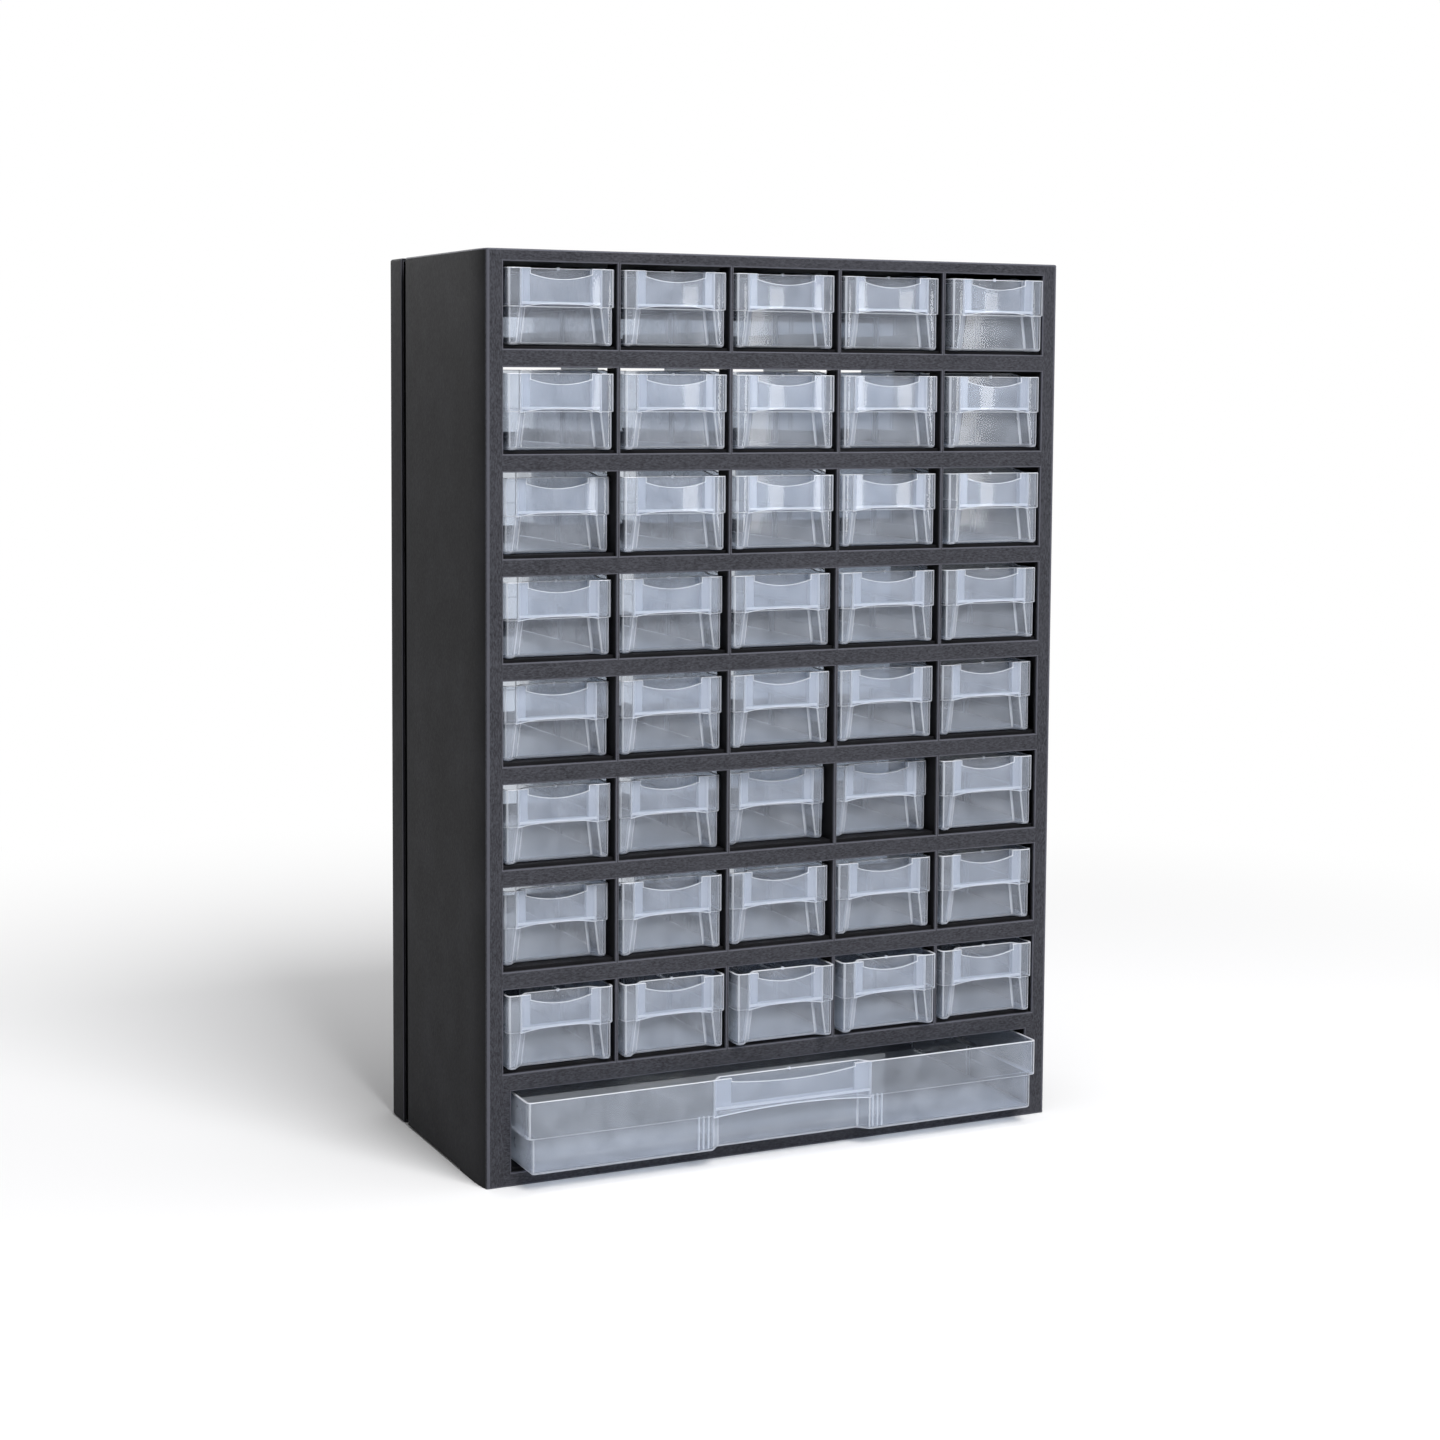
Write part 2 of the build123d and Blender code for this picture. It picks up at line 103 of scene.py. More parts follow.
def add_node(
    tree: Tree,
    kind: str,
    settings: dict | None = None,
    inputs: dict | None = None,
    output: int | str = 0,
) -> Socket | None:
    """Add a shader node to a tree, set it up and fill or link its inputs.

    Args:
        tree: the node tree.
        kind: the node's type name, without "ShaderNode" before it.
        settings: the node's own properties.
        inputs: values or output sockets for its inputs, by name or number.
        output: which of its outputs is wanted.

    Returns:
        That output, or None for a node that has no outputs.
    """
    node = tree.nodes.new(f"ShaderNode{kind}")
    for name, value in (settings or {}).items():
        setattr(node, name, value)
    for name, value in (inputs or {}).items():
        if isinstance(value, Socket):
            tree.links.new(value, node.inputs[name])
        else:
            node.inputs[name].default_value = value
    return node.outputs[output] if node.outputs else None


def start_material(name: str) -> tuple[Material, Tree, Socket]:
    """Start a material with an empty node tree.

    Args:
        name: the material's name.

    Returns:
        The material, its node tree and the Object coordinates.
    """
    made = bpy.data.materials.new(name)
    made.use_nodes = True
    made.node_tree.nodes.clear()
    return made, made.node_tree, add_node(made.node_tree, "TexCoord", output="Object")


class Side(Enum):
    """The two sides of a symmetrical shape, as the sign of X."""

    LEFT = -1
    RIGHT = 1


class Rim(Enum):
    """The attribute "rim": how much painted highlight a black face gets, or how thick a milky one
    looks.
    """

    PLAIN = 0.0
    CLEAR = 0.02
    FAINT = 0.25
    LIGHT = 0.35
    RIB = 0.4
    MEDIUM = 0.45
    NUB = 0.5
    TAB = 0.6
    LEDGE = 0.7
    HEAVY = 0.8
    STEP = 0.9
    FULL = 1.0


# Finishes


@dataclass(frozen=True)
class MouldedStyrene:
    """Black high-impact polystyrene from a spark-eroded mould: near black, with a dull grain."""

    name: str = "black_moulded_styrene"
    body: str = "#18181A"
    bloom: str = "#2F2F33"
    fleck: str = "#5F6068"
    # Painted highlight: the paler colour laid on rounded edges
    edge_highlight: str = "#62636C"
    rough_low: float = 0.4
    rough_high: float = 0.6
    rubbed_roughness: float = -0.16
    specular: float = 0.038
    grain_mm: float = 0.6
    streak: float = 0.36
    grain_height_mm: float = 0.06
    grain_strength: float = 0.3
    cloud_mm: float = 30.0
    cloud_start: float = 0.35
    cloud_full: float = 0.75
    cloud_most: float = 0.4
    fleck_start: float = 0.2
    fleck_full: float = 0.84
    fleck_on_face: float = 0.72
    fleck_behind: float = 0.05
    # How much of the painted highlight colour the most rounded edges get
    edge_highlight_most: float = 0.7
    # How far from the middle the face's borders begin, and the Y behind which the sides are
    border_mm: float = 142.5
    face_mm: float = -68.5

    def grain_place(self, tree: Tree, place: Socket) -> Socket:
        """Stretch the grain along the bars, and upright along the borders and sides.

        Args:
            tree: the node tree.
            place: the Object coordinates.

        Returns:
            The stretched coordinates.
        """
        across, upright = [
            add_node(tree, "Mapping", {}, {"Vector": place, "Scale": scale})
            for scale in ((self.streak, 1.0, 1.0), (1.0, 1.0, self.streak))
        ]
        along_x = add_node(tree, "SeparateXYZ", {}, {0: place})
        reach = add_node(tree, "Math", {"operation": "ABSOLUTE"}, {0: along_x})
        border = add_node(
            tree, "Math", {"operation": "GREATER_THAN"}, {0: reach, 1: self.border_mm * MM}
        )
        return add_node(
            tree, "Mix", {"data_type": "VECTOR"}, {0: border, 4: across, 5: upright}, 1
        )

    def material(self) -> Material:
        """Build the material.

        Returns:
            The black plastic, which reads Object coordinates and the attribute "rim".
        """
        made, tree, place = start_material(self.name)
        # Dull mould grain, a little drawn out by the flow: about 0.6 mm wide and 1.7 mm long
        grains = {"Scale": 1 / (self.grain_mm * MM), "Detail": 4.0, "Roughness": 0.65}
        drawn = self.grain_place(tree, place)
        grain = add_node(tree, "TexNoise", {}, {"Vector": drawn, **grains})
        # Broad, faint clouds from the plastic's flow and from handling
        clouds = {"Scale": 1 / (self.cloud_mm * MM), "Detail": 4.0, "Roughness": 0.55}
        cloud = add_node(tree, "TexNoise", {}, {"Vector": place, **clouds})
        cloud_share = add_node(
            tree,
            "MapRange",
            {"interpolation_type": "SMOOTHSTEP"},
            {0: cloud, 1: self.cloud_start, 2: self.cloud_full, 3: 0.0, 4: self.cloud_most},
        )
        # The grain catches a little grey on the face and hardly any on the smoother sides
        depth = add_node(tree, "SeparateXYZ", {}, {0: place}, 1)
        smooth = add_node(
            tree, "Math", {"operation": "GREATER_THAN"}, {0: depth, 1: self.face_mm * MM}
        )
        most = {0: smooth, 1: 0.0, 2: 1.0, 3: self.fleck_on_face, 4: self.fleck_behind}
        flecked = {0: grain, 1: self.fleck_start, 2: self.fleck_full, 3: 0.0}
        fleck_most = add_node(tree, "MapRange", {}, most)
        fleck_share = add_node(tree, "MapRange", {}, {**flecked, 4: fleck_most})
        # Rounded edges are a little smoother, and carry a painted highlight: a paler colour laid on
        # them
        rim = add_node(tree, "Attribute", {"attribute_name": "rim"}, {}, "Fac")
        edge_highlight_share = add_node(tree, "Math", {"operation": "MULTIPLY"}, {0: rim, 1: self.edge_highlight_most})
        colour = linear(self.body)
        for share, layer in (
            (cloud_share, self.bloom),
            (fleck_share, self.fleck),
            (edge_highlight_share, self.edge_highlight),
        ):
            mixed = {0: share, 6: colour, 7: linear(layer)}
            colour = add_node(tree, "Mix", {"data_type": "RGBA"}, mixed, 2)
        dullness = {1: NOISE_LOW, 2: NOISE_HIGH, 3: self.rough_low, 4: self.rough_high}
        dull = add_node(tree, "MapRange", {}, {0: grain, **dullness})
        rough = add_node(
            tree, "Math", {"operation": "MULTIPLY_ADD"}, {0: rim, 1: self.rubbed_roughness, 2: dull}
        )
        height = {"Strength": self.grain_strength, "Distance": self.grain_height_mm * MM}
        bump = add_node(tree, "Bump", {}, {**height, "Height": grain})
        look = {"Base Color": colour, "Roughness": rough, "Specular IOR Level": self.specular}
        shader = add_node(tree, "BsdfPrincipled", {}, {**look, "Normal": bump})
        add_node(tree, "OutputMaterial", {}, {"Surface": shader})
        return made


@dataclass(frozen=True)
class NaturalPolypropylene:
    """Undyed polypropylene, moulded thin and polished: milky, see-through, whiter where thick."""

    name: str = "natural_polypropylene"
    milk: str = "#D2D9E6"
    thick: str = "#F0F3FA"
    clear: str = "#F2F5F9"
    haze_low: float = 0.115
    haze_high: float = 0.205
    thick_haze: float = 0.78
    slant_haze: float = 1.0
    slant_power: float = 4.0
    rough_low: float = 0.32
    rough_high: float = 0.46
    polish: float = 0.7
    polish_roughness: float = 0.05
    index: float = 1.49
    cloud_mm: float = 11.0
    ripple_mm: float = 16.0
    ripple_height_mm: float = 0.06
    ripple_strength: float = 0.5

    def material(self) -> Material:
        """Build the material.

        Returns:
            The milky plastic, which reads Object coordinates and the attribute "rim".
        """
        made, tree, place = start_material(self.name)
        # Milky clouds from uneven cooling, about as wide as a fingertip
        clouds = {"Scale": 1 / (self.cloud_mm * MM), "Detail": 3.0, "Roughness": 0.5}
        cloud = add_node(tree, "TexNoise", {}, {"Vector": place, **clouds})
        cloudy, rough = [
            add_node(
                tree, "MapRange", {}, {0: cloud, 1: NOISE_LOW, 2: NOISE_HIGH, 3: low, 4: high}
            )
            for low, high in ((self.haze_low, self.haze_high), (self.rough_low, self.rough_high))
        ]
        # A slanting look passes through more plastic
        facing = add_node(tree, "LayerWeight", {}, {"Blend": 0.5}, "Facing")
        slant = add_node(tree, "Math", {"operation": "POWER"}, {0: facing, 1: self.slant_power})
        milky = add_node(
            tree, "Math", {"operation": "MULTIPLY_ADD"}, {0: slant, 1: self.slant_haze, 2: cloudy}
        )
        rim = add_node(tree, "Attribute", {"attribute_name": "rim"}, {}, "Fac")
        share = add_node(
            tree, "Mix", {"data_type": "FLOAT"}, {0: rim, 2: milky, 3: self.thick_haze}
        )
        colours = {0: rim, 6: linear(self.milk), 7: linear(self.thick)}
        colour = add_node(tree, "Mix", {"data_type": "RGBA"}, colours, 2)
        # Thin walls are never quite flat: a slow ripple bends the reflections
        ripples = {"Scale": 1 / (self.ripple_mm * MM), "Detail": 1.0}
        ripple = add_node(tree, "TexNoise", {}, {"Vector": place, **ripples})
        height = {"Strength": self.ripple_strength, "Distance": self.ripple_height_mm * MM}
        bump = add_node(tree, "Bump", {}, {**height, "Height": ripple})
        look = {"Base Color": colour, "Roughness": rough, "IOR": self.index, "Normal": bump}
        milk = add_node(tree, "BsdfPrincipled", {}, look)
        clear = add_node(tree, "BsdfTransparent", {}, {"Color": linear(self.clear)})
        wall = add_node(tree, "MixShader", {}, {0: share, 1: clear, 2: milk})
        look = {"Color": WHITE, "Roughness": self.polish_roughness, "Normal": bump}
        gleam = add_node(tree, "BsdfGlossy", {}, look)
        # Only the outer skin shines: a ray that leaves the wall adds no second reflection
        gloss = add_node(tree, "Fresnel", {}, {"IOR": self.index, "Normal": bump})
        leaving = add_node(tree, "NewGeometry", output="Backfacing")
        entering = add_node(tree, "Math", {"operation": "SUBTRACT"}, {0: 1.0, 1: leaving})
        polished = add_node(tree, "Math", {"operation": "MULTIPLY"}, {0: entering, 1: self.polish})
        shine = add_node(tree, "Math", {"operation": "MULTIPLY"}, {0: gloss, 1: polished})
        skin = add_node(tree, "MixShader", {}, {0: shine, 1: wall, 2: gleam})
        add_node(tree, "OutputMaterial", {}, {"Surface": skin})
        return made


@dataclass(frozen=True)
class StudioWhite:
    """Matte white paper: shows the object's shadow and fades to plain white further out."""

    name: str = "studio_white_paper"
    paper: str = "#F7F7F8"
    fade_start_mm: float = 260.0
    fade_end_mm: float = 900.0
    fibres_per_metre: float = 420.0
    fibre_height_mm: float = 0.1
    fibre_strength: float = 0.1

    def material(self) -> Material:
        """Build the floor's material.

        Returns:
            The white paper, which is plain white to the eye beyond the fade.
        """
        made, tree, place = start_material(self.name)
        reach = add_node(tree, "VectorMath", {"operation": "LENGTH"}, {0: place}, "Value")
        fade = add_node(
            tree,
            "MapRange",
            {"interpolation_type": "SMOOTHSTEP"},
            {0: reach, 1: self.fade_start_mm * MM, 2: self.fade_end_mm * MM, 3: 0.0, 4: 1.0},
        )
        share = add_node(tree, "Math", {"operation": "MULTIPLY"}, {0: fade, 1: seen_ray(tree)})
        fibre = add_node(
            tree, "TexNoise", {}, {"Vector": place, "Scale": self.fibres_per_metre, "Detail": 2.0}
        )
        height = {"Strength": self.fibre_strength, "Distance": self.fibre_height_mm * MM}
        bump = add_node(tree, "Bump", {}, {**height, "Height": fibre})
        paper = add_node(tree, "BsdfDiffuse", {}, {"Color": linear(self.paper), "Normal": bump})
        white = add_node(tree, "Emission", {}, {"Color": WHITE, "Strength": 1.0})
        mix = add_node(tree, "MixShader", {}, {0: share, 1: paper, 2: white})
        add_node(tree, "OutputMaterial", {}, {"Surface": mix})
        return made


def seen_ray(tree: Tree) -> Socket:
    """Add the test for rays that show the background: camera, glossy and transmission rays.

    Args:
        tree: the node tree to add it to.

    Returns:
        A socket that is 1 for such rays and 0 for the rest.
    """
    camera, glossy, transmitted = [
        add_node(tree, "LightPath", output=f"Is {kind} Ray")
        for kind in ("Camera", "Glossy", "Transmission")
    ]
    either = add_node(tree, "Math", {"operation": "MAXIMUM"}, {0: camera, 1: glossy})
    return add_node(tree, "Math", {"operation": "MAXIMUM"}, {0: either, 1: transmitted})


# Mesh helpers


def mark(mesh: Mesh, faces: list[Face], rim: Rim) -> None:
    """Write a value of the attribute "rim" on faces.

    Args:
        mesh: the mesh that has the faces.
        faces: the faces to mark.
        rim: the value.
    """
    layer = mesh.faces.layers.float["rim"]
    for face in faces:
        face[layer] = rim.value


def bevel_edges(mesh: Mesh, edges: list[Edge], width: float, steps: int, rim: Rim) -> None:
    """Round edges, and mark the new faces: a painted highlight on black plastic, thick plastic on
    milky.

    Args:
        mesh: the mesh to change.
        edges: the edges to round.
        width: the round's width in millimetres.
        steps: the number of faces across the round.
        rim: the mark for the new faces.
    """
    made = bmesh.ops.bevel(
        mesh,
        geom=edges,
        offset=width * MM,
        offset_type="OFFSET",
        segments=steps,
        profile=0.5,
        affect="EDGES",
        material=-1,
        clamp_overlap=False,
    )
    mark(mesh, made["faces"], rim)


def add_block(mesh: Mesh, low: Point, high: Point, edge: float, rim: Rim) -> None:
    """Add a block with softened edges between two corners.

    Args:
        mesh: the mesh to add to.
        low: the lowest corner in millimetres.
        high: the highest corner in millimetres.
        edge: the width of the softened edges in millimetres.
        rim: the mark for its faces.
    """
    size = [(b - a) * MM for a, b in zip(low, high)]
    centre = Vector([(a + b) * MM / 2 for a, b in zip(low, high)])
    place = Matrix.Translation(centre) @ Matrix.Diagonal((*size, 1.0))
    corners = bmesh.ops.create_cube(mesh, size=1.0, matrix=place)["verts"]
    mark(mesh, list({f for v in corners for f in v.link_faces}), rim)
    bevel_edges(mesh, list({e for v in corners for e in v.link_edges}), edge, 1, rim)


def add_pair(mesh: Mesh, low: Point, high: Point, edge: float, rim: Rim) -> None:
    """Add a block on the right and its mirror image on the left.

    Args:
        mesh: the mesh to add to.
        low: the right block's lowest corner in millimetres.
        high: the right block's highest corner in millimetres.
        edge: the width of the softened edges in millimetres.
        rim: the mark for its faces.
    """
    for side in Side:
        near, far = sorted((side.value * low[0], side.value * high[0]))
        add_block(mesh, (near, *low[1:]), (far, *high[1:]), edge, rim)


def pull(
    mesh: Mesh, faces: list[Face], move: Point, keep: bool = False
) -> tuple[list[Vert], list[Face]]:
    """Extrude faces and move what is new.

    Args:
        mesh: the mesh to change.
        faces: the faces to extrude.
        move: how far along X, Y and Z, in millimetres.
        keep: whether the old faces stay, where they close the new shape.

    Returns:
        The new vertices and the moved faces.
    """
    made = bmesh.ops.extrude_face_region(mesh, geom=faces)["geom"]
    if not keep:
        bmesh.ops.delete(mesh, geom=faces, context="FACES_ONLY")
    verts = [g for g in made if isinstance(g, Vert)]
    bmesh.ops.translate(mesh, verts=verts, vec=Vector(move) * MM)
    return verts, [g for g in made if isinstance(g, Face)]


def on_plane(edge: Edge, axis: int, place: float) -> bool:
    """Tell whether an edge lies at a place on an axis, or at the mirror image of that place."""
    return all(abs(abs(v.co[axis]) - abs(place) * MM) < CLOSE for v in edge.verts)


def new_mesh() -> Mesh:
    """Start an empty mesh that has the attribute "rim" on its faces.

    Returns:
        The mesh.
    """
    mesh = bmesh.new()
    mesh.faces.layers.float.new("rim")
    return mesh


def to_object(mesh: Mesh, name: str, material: Material) -> Piece:
    """Turn a finished mesh into an object at the origin, smooth but for its sharp edges.

    Args:
        mesh: the finished mesh, in metres, in its final place.
        name: the piece's name.
        material: the piece's finish.

    Returns:
        The new object, linked to the scene.
    """
    for face in mesh.faces:
        face.smooth = True
    for edge in mesh.edges:
        edge.smooth = edge.calc_face_angle(math.pi) < SMOOTH_ANGLE
    data = bpy.data.meshes.new(name)
    mesh.to_mesh(data)
    mesh.free()
    data.materials.append(material)
    made = bpy.data.objects.new(name, data)
    bpy.context.scene.collection.objects.link(made)
    # Large flat faces keep their own normals where they meet a round
    made.modifiers.new("even_shading", "WEIGHTED_NORMAL").keep_sharp = True
    return made


def cut_at(mesh: Mesh, axis: int, place: float) -> None:
    """Cut every face of a mesh along a plane across one axis.

    Args:
        mesh: the mesh to cut.
        axis: 0, 1 or 2 for X, Y or Z.
        place: where the plane stands on that axis, in millimetres.
    """
    normal = Vector((0, 0, 0))
    normal[axis] = 1.0
    everything = mesh.verts[:] + mesh.edges[:] + mesh.faces[:]
    bmesh.ops.bisect_plane(
        mesh, geom=everything, dist=CLOSE / 10, plane_co=normal * place * MM, plane_no=normal
    )


# Housing


@dataclass
class Housing:
    """The black housing: face and skin as one moulding, the rear frame and the parts inside."""

    finish: MouldedStyrene
    width: float = 300.0
    height: float = 430.0
    depth: float = 140.0
    swell: float = 2.2
    swell_run: float = 20.0
    swell_steps: int = 5
    wall: float = 2.8
    columns: int = 5
    rows: int = 8
    side_border: float = 7.5
    divider: float = 1.8
    top_border: float = 5.7
    bar: float = 8.3
    base_border: float = 6.5
    wide_opening: float = 38.2
    wide_border: float = 11.35
    post_depth: float = 12.0
    groove_start: float = 109.0
    ring_growth: float = 2.4
    groove_inset: float = 2.6
    tongue: float = 17.0
    foot_length: float = 32.0
    foot_step: float = 1.0
    foot_slope: float = 0.4
    edge_round: float = 0.8
    opening_round: float = 0.6
    shelf_step: float = 1.4
    rail_height: float = 8.0
    rail_end: float = 57.6
    rail_round: float = 0.3
    ring_round: float = 0.35
    ring_sharp: float = math.radians(50)

    def grid(self) -> tuple[list[float], list[float]]:
        """Work out where the face's openings begin and end.

        Returns:
            The X of every opening's edges and the Z of every bar's edges, in millimetres.
        """
        edge = self.width / 2 - self.side_border
        opening = (2 * edge - (self.columns - 1) * self.divider) / self.columns
        across = []
        for column in range(self.columns):
            start = -edge + column * (opening + self.divider)
            across += [start, start + opening]
        bars = self.rows * self.bar + self.top_border + self.base_border
        rise = (self.height - bars - self.wide_opening) / self.rows
        up = [self.base_border, self.base_border + self.wide_opening]
        for _ in range(self.rows):
            up += [up[-1] + self.bar, up[-1] + self.bar + rise]
        return across, up

    def skin_path(self) -> list[tuple[float, float]]:
        """List the skin's profile behind the face.

        Returns:
            How far out and how far back each of its points stands, in millimetres.
        """
        turns = [(i + 1) / self.swell_steps * math.pi / 2 for i in range(self.swell_steps)]
        inset = self.swell - self.groove_inset
        return [
            *((self.swell * math.sin(t), self.swell_run * (1 - math.cos(t))) for t in turns),
            (self.swell, self.groove_start),
            (inset, self.groove_start),
            (inset, self.groove_start + self.tongue),
        ]

    def moulding(self) -> Piece:
        """Build the face, the sides, the top and the posts as one moulding.

        Returns:
            The finished piece.
        """
        mesh = new_mesh()
        across, up = self.grid()
        half = self.width / 2
        front = -self.depth / 2
        wide_edge = half - self.wide_border
        corners = [
            mesh.verts.new((x * MM, front * MM, z * MM))
            for x, z in ((-half, 0), (half, 0), (half, self.height), (-half, self.height))
        ]
        mesh.faces.new(corners)
        for x in [*across, -wide_edge, wide_edge]:
            cut_at(mesh, 0, x)
        for z in up:
            cut_at(mesh, 2, z)
        openings = []
        for face in mesh.faces:
            middle = face.calc_center_median() / MM
            in_column = any(a < middle.x < b for a, b in zip(across[::2], across[1::2]))
            in_row = any(a < middle.z < b for a, b in zip(up[2::2], up[3::2]))
            in_wide = abs(middle.x) < wide_edge and up[0] < middle.z < up[1]
            if (in_column and in_row) or in_wide:
                openings.append(face)
        bmesh.ops.delete(mesh, geom=openings, context="FACES")
        self._grow_skin(mesh, half, front)
        self._cut_feet(mesh, front)
        bmesh.ops.recalc_face_normals(mesh, faces=mesh.faces[:])
        if next(f for f in mesh.faces if abs(f.normal.y) > FACING).normal.y > 0:
            bmesh.ops.reverse_faces(mesh, faces=mesh.faces[:])
        bmesh.ops.solidify(mesh, geom=mesh.faces[:], thickness=self.wall * MM)
        bmesh.ops.recalc_face_normals(mesh, faces=mesh.faces[:])
        self._deepen_posts(mesh, across, up, front)
        self._round_edges(mesh, half, front)
        self._add_cheek_rails(mesh, wide_edge, front)
        return to_object(mesh, "cabinet_moulding", self.finish.material())

    def _grow_skin(self, mesh: Mesh, half: float, front: float) -> None:
        """Pull the sheet's left, top and right edges back along the skin's profile.

        Args:
            mesh: the face sheet.
            half: half of the face's width.
            front: the face's Y.
        """
        top = self.height
        border = [e for e in mesh.edges if e.is_boundary]
        rim = [e for e in border if on_plane(e, 0, half) or on_plane(e, 2, top)]
        for out, back in self.skin_path():
            made = bmesh.ops.extrude_edge_only(mesh, edges=rim)["geom"]
            rim = [g for g in made if isinstance(g, Edge)]
            for vert in (g for g in made if isinstance(g, Vert)):
                vert.co.y = (front + back) * MM
                if abs(vert.co.x) > (half - NEAR) * MM:
                    vert.co.x = math.copysign((half + out) * MM, vert.co.x)
                if vert.co.z > (top - self.groove_inset - NEAR) * MM:
                    in_groove = back >= self.groove_start and out < self.swell
                    vert.co.z = (top - in_groove * self.groove_inset) * MM

    def _cut_feet(self, mesh: Mesh, front: float) -> None:
        """Raise the sides' lower edges behind the front feet.

        Args:
            mesh: the sheet with its grown skin.
            front: the face's Y.
        """
        foot_end = front + self.foot_length
        cut_at(mesh, 1, foot_end)
        cut_at(mesh, 1, foot_end + self.foot_slope)
        for vert in mesh.verts:
            if vert.co.z < CLOSE and vert.co.y > (foot_end + self.foot_slope - NEAR) * MM:
                vert.co.z += self.foot_step * MM

    def _deepen_posts(
        self, mesh: Mesh, across: list[float], up: list[float], front: float
    ) -> None:
        """Pull the dividers' backs further in, so that they become posts.

        Args:
            mesh: the solid moulding.
            across: the X of the openings' edges.
            up: the Z of the bars' edges.
            front: the face's Y.
        """
        gaps = list(zip(across[1:-1:2], across[2::2]))
        rows = list(zip(up[2::2], up[3::2]))
        backs = []
        for face in mesh.faces:
            middle = face.calc_center_median() / MM
            behind = abs(middle.y - front - self.wall) < NEAR and face.normal.y > FACING
            in_gap = any(a < middle.x < b for a, b in gaps)
            if behind and in_gap and any(a < middle.z < b for a, b in rows):
                backs.append(face)
        pull(mesh, backs, (0, self.post_depth - self.wall, 0))

    def _round_edges(self, mesh: Mesh, half: float, front: float) -> None:
        """Round the face's outer edges, the openings' front edges and the skin's long edges.

        Args:
            mesh: the solid moulding.
            half: half of the face's width.
            front: the face's Y.
        """

        def at_front(edge: Edge) -> bool:
            """Tell whether an edge is a sharp one on the face."""
            return on_plane(edge, 1, front) and edge.calc_face_angle(0) > SHARP_ANGLE

        def outer(edge: Edge) -> bool:
            """Tell whether an edge is on the face's outline."""
            level = on_plane(edge, 2, 0) or on_plane(edge, 2, self.height)
            return level or on_plane(edge, 0, half)

        def along_skin(edge: Edge) -> bool:
            """Tell whether an edge runs back along the top's side."""
            wide = all(abs(v.co.x) > (half - NEAR) * MM for v in edge.verts)
            upper = wide and on_plane(edge, 2, self.height)
            return upper and edge.calc_face_angle(0) > SHARP_ANGLE

        sharp = [e for e in mesh.edges if at_front(e)]
        outline = [e for e in sharp if outer(e)] + [
            e for e in mesh.edges if along_skin(e) and not at_front(e)
        ]
        inner = [e for e in sharp if not outer(e)]
        # These rounds carry the black plastic's painted edge highlight
        bevel_edges(mesh, outline, self.edge_round, 3, Rim.FULL)
        bevel_edges(mesh, [e for e in inner if e.is_valid], self.opening_round, 2, Rim.FULL)

    def _add_cheek_rails(self, mesh: Mesh, wide_edge: float, front: float) -> None:
        """Add the low rails that guide the wide drawer.

        Args:
            mesh: the solid moulding.
            wide_edge: the wide opening's edge.
            front: the face's Y.
        """
        base = self.base_border + self.shelf_step
        add_pair(
            mesh,
            (wide_edge, front + self.wall - SINK, base - SINK),
            (wide_edge + self.divider, self.rail_end, base + self.rail_height),
            self.rail_round,
            Rim.PLAIN,
        )

    def rear_ring(self) -> Piece:
        """Copy the rear frame's solid, merge it and soften its edges.

        Returns:
            The finished ring.
        """
        mesh = new_mesh()
        mesh.from_mesh(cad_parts["rear_frame"].data)
        bmesh.ops.remove_doubles(mesh, verts=mesh.verts[:], dist=CLOSE)
        bmesh.ops.dissolve_limit(
            mesh, angle_limit=math.radians(1.0), verts=mesh.verts[:], edges=mesh.edges[:]
        )
        # The ring's front comes a little further forward, as the groove's dark line needs
        front = min(v.co.y for v in mesh.verts)
        for vert in mesh.verts:
            if vert.co.y < front + APART * MM:
                vert.co.y -= self.ring_growth * MM
        sharp = [e for e in mesh.edges if e.calc_face_angle(0) > self.ring_sharp]
        # These rounds carry the black plastic's painted edge highlight
        bevel_edges(mesh, sharp, self.ring_round, 2, Rim.HEAVY)
        return to_object(mesh, "rear_frame_moulding", self.finish.material())

    def dress(self) -> list[Piece]:
        """Build the new pieces and give the parts inside the same black plastic.

        Returns:
            The new pieces.
        """
        moulding = self.moulding()
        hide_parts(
            "right_side_panel",
            "left_side_panel",
            "top_panel",
            "face_bars",
            "divider_posts",
            "lower_cheeks",
        )
        ring = self.rear_ring()
        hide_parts("rear_frame")
        for piece in (moulding, ring):
            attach(piece, "housing")
        inside = [f"shelf_{row + 1}" for row in range(self.rows)]
        black = self.finish.material()
        for node in [*inside, "floor_panel", "guide_rails", "rear_stops"]:
            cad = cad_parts[node]
            cad.data.materials.clear()
            cad.data.materials.append(black)
        return [moulding, ring]


# Drawers


